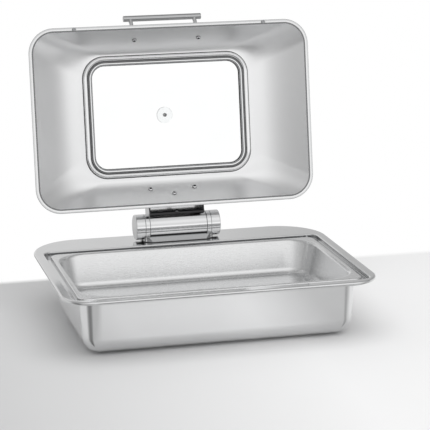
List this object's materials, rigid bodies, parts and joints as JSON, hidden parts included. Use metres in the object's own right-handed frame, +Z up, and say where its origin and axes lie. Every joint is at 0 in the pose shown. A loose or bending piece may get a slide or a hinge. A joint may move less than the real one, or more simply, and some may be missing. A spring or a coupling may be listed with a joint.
{
  "type": "chafing dish",
  "caption": "Rectangular induction chafing dish with a water pan, a lift-out food pan and a domed lid with a glass window on a damped rear hinge.",
  "frame": {"origin": "underside of the induction plate, under the middle of the food pan, on the surface that the dish stands on", "axes": "+Z up, +X along the length to the right seen from the front, +Y to the hinge at the back"},
  "size_m": [0.587, 0.5219, 0.5505],
  "materials": {
    "satin_steel": "satin stainless steel, fine brushed",
    "polished_steel": "polished stainless steel",
    "mirror_steel": "mirror polished",
    "screw_steel": "plain stainless steel",
    "spring_steel": "oiled spring steel",
    "ferritic_steel": "matt ferritic steel",
    "bronze": "sintered bronze",
    "black_rubber": "matt black silicone rubber",
    "grey_silicone": "matt grey silicone",
    "clear_silicone": "clear silicone",
    "glass": "clear tempered glass",
    "black_plastic": "matt black plastic"
  },
  "bodies": {
    "base": {"water_pan": "polished_steel", "induction_plate": "ferritic_steel", "hinge_base": "mirror_steel", "hinge_base_pad": "black_rubber", "rim_backing_plate": "screw_steel", "base_screw_1": "screw_steel", "base_screw_2": "screw_steel", "base_screw_3": "screw_steel", "base_screw_4": "screw_steel", "hinge_shaft": "spring_steel", "shaft_nut_left": "screw_steel", "shaft_nut_right": "screw_steel", "hinge_end_cap_left": "mirror_steel", "hinge_end_cap_right": "mirror_steel", "hinge_damper": "black_plastic", "hinge_spring": "spring_steel"},
    "lid": {"lid_shell": "satin_steel", "window_trim_inner": "polished_steel", "window_trim_outer": "polished_steel", "window_gasket": "black_rubber", "window_glass": "glass", "vent_washer_inner": "clear_silicone", "vent_washer_outer": "clear_silicone", "vent_eyelet": "screw_steel", "handle_bar": "mirror_steel", "handle_post_left": "mirror_steel", "handle_post_right": "mirror_steel", "handle_screw_left": "screw_steel", "handle_screw_right": "screw_steel", "lid_bumper_left": "grey_silicone", "lid_bumper_right": "grey_silicone", "hinge_lid_bracket": "mirror_steel", "bracket_screw_left": "screw_steel", "bracket_screw_right": "screw_steel", "bracket_screw_centre": "screw_steel", "barrel_screw": "screw_steel", "hinge_barrel": "mirror_steel", "hinge_hub_left": "screw_steel", "hinge_hub_right": "screw_steel", "hinge_bush_left": "bronze", "hinge_bush_right": "bronze"},
    "food_pan": {"food_pan": "satin_steel"}
  },
  "joints": [
    {"name": "lid_hinge", "type": "hinge", "parent": "base", "child": "lid", "pos_m": [0, 0.218, 0.144], "axis": [-1, 0, 0], "range_deg": [-98.7, 0]},
    {"name": "food_pan_lift", "type": "slide", "parent": "base", "child": "food_pan", "axis": [0, 0, 1], "range_m": [0, 0.15]}
  ]
}
